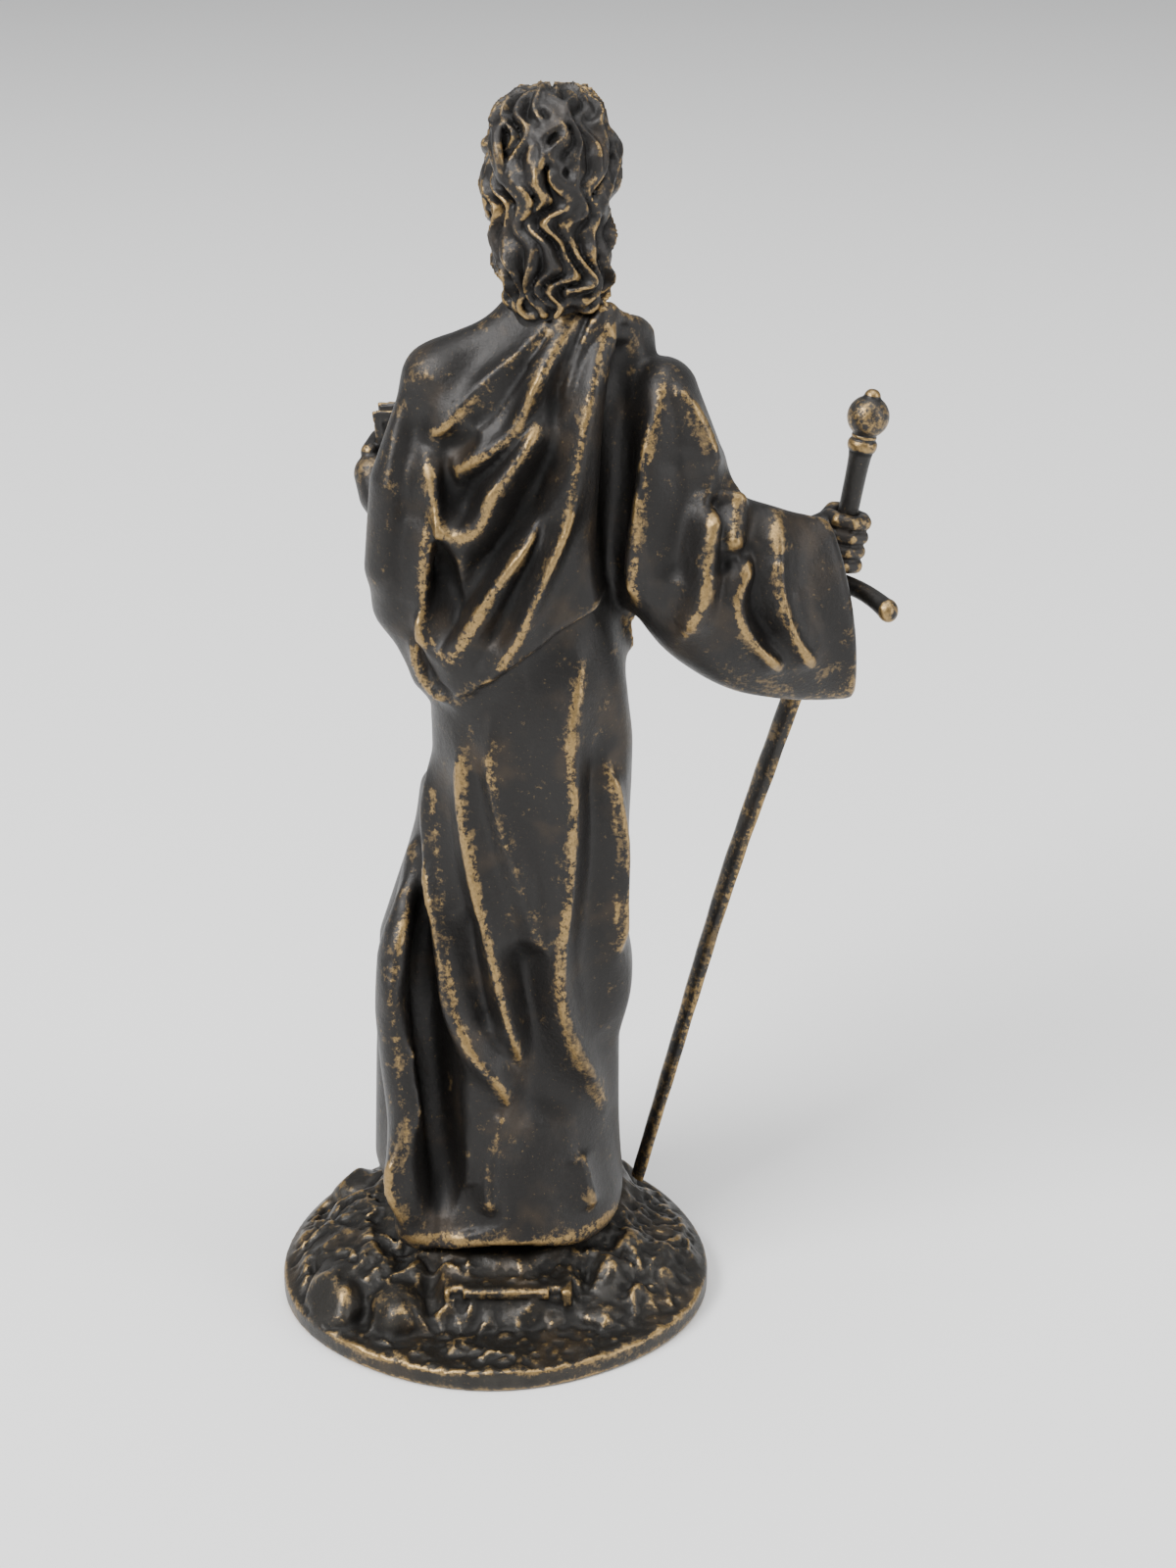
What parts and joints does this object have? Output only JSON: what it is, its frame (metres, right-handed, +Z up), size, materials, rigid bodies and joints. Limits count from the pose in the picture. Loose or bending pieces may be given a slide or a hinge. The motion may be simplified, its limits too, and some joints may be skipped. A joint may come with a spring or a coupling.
{
  "type": "statue",
  "caption": "Bronze statue of a bearded, robed saint who holds a book and rests his hand on a long sword, on a round rocky base.",
  "frame": {"origin": "centre of the base's flat underside", "axes": "+Z up, the figure faces -Y, its right hand with the sword is towards -X"},
  "size_m": [0.1358, 0.096, 0.2701],
  "materials": {
    "base_bronze": "dark brown-black patina, rubbed to bright metal on edges and rock tops",
    "figure_bronze": "dark brown-black patina, semi-gloss, rubbed to bright metal on the crests of folds and hair",
    "sword_bronze": "dark patina, rubbed along the edges"
  },
  "bodies": {
    "root": {"rocky_base": "base_bronze", "saint_figure": "figure_bronze", "sword": "sword_bronze"}
  },
  "joints": []
}
